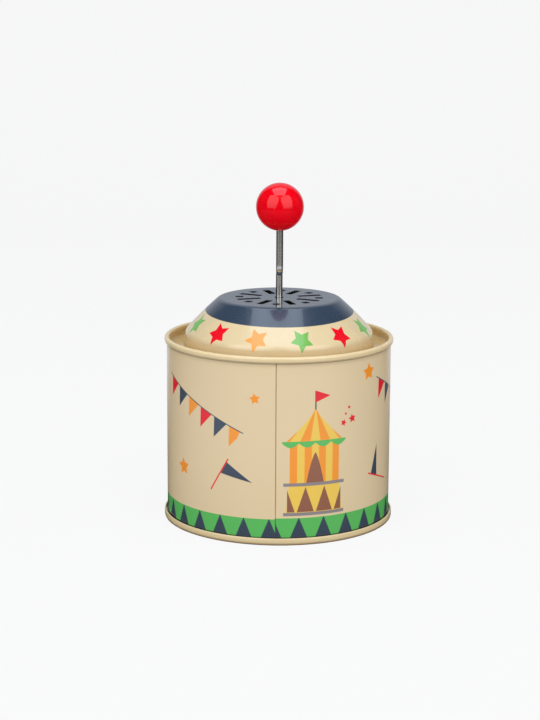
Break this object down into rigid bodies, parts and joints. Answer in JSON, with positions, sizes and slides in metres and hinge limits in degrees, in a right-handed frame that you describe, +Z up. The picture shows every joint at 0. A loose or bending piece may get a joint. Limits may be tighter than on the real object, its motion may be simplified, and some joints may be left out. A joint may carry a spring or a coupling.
{
  "type": "crank music box",
  "caption": "Round printed tin music box with a domed, slotted lid, a bent wire crank with a ball on top, and a worm-driven comb movement inside.",
  "frame": {"origin": "centre of the ring that the tin stands on, at the table's surface", "axes": "+Z up along the crank shaft; -Y toward the upright seam, the side that the crank's arm points to at rest; +X to the right seen from there, along the barrel"},
  "size_m": [0.1006, 0.1006, 0.1501],
  "materials": {
    "printed_wall": "semi-gloss print on tinplate",
    "printed_lid": "semi-gloss print on tinplate, navy top",
    "bare_tinplate": "lacquered tinplate",
    "nickel_wire": "nickel plated",
    "red_ball": "gloss",
    "plated_steel": "zinc plated",
    "spring_steel": "ground",
    "zinc_plate": "die cast",
    "brass": "machined",
    "lead": "dull"
  },
  "bodies": {
    "tin": {"body_wall": "printed_wall", "base_plate": "bare_tinplate", "top_dome": "printed_lid", "lid_posts": "plated_steel", "post_nuts": "plated_steel", "bedplate": "zinc_plate", "crank_bush": "brass", "worm_bridge": "plated_steel", "bridge_screws": "plated_steel", "left_bracket": "zinc_plate", "right_bracket": "zinc_plate", "bracket_screws": "plated_steel", "comb_block": "zinc_plate", "block_screws": "plated_steel", "comb": "spring_steel", "comb_screws": "plated_steel", "comb_leads": "lead"},
    "crank": {"crank_wire": "nickel_wire", "crank_washer": "plated_steel", "crank_clip": "spring_steel", "drive_worm": "brass"},
    "ball": {"ball_knob": "red_ball"},
    "barrel": {"worm_wheel": "brass", "barrel_arbor": "plated_steel", "barrel_discs": "brass", "pinned_barrel": "brass"}
  },
  "joints": [
    {"name": "crank_turn", "type": "hinge", "parent": "tin", "child": "crank", "pos_m": [0, 0, 0.1], "axis": [0, 0, 1], "continuous": true},
    {"name": "ball_spin", "type": "hinge", "parent": "crank", "child": "ball", "pos_m": [0.0001, -0.028, 0.1401], "axis": [0, 0, 1], "continuous": true},
    {"name": "barrel_turn", "type": "hinge", "parent": "tin", "child": "barrel", "pos_m": [0.0137, 0.0089, 0.07677], "axis": [1, 0, 0], "continuous": true}
  ],
  "couplings": [
    {"joint": "barrel_turn", "follows": "crank_turn", "ratio": 0.05}
  ]
}
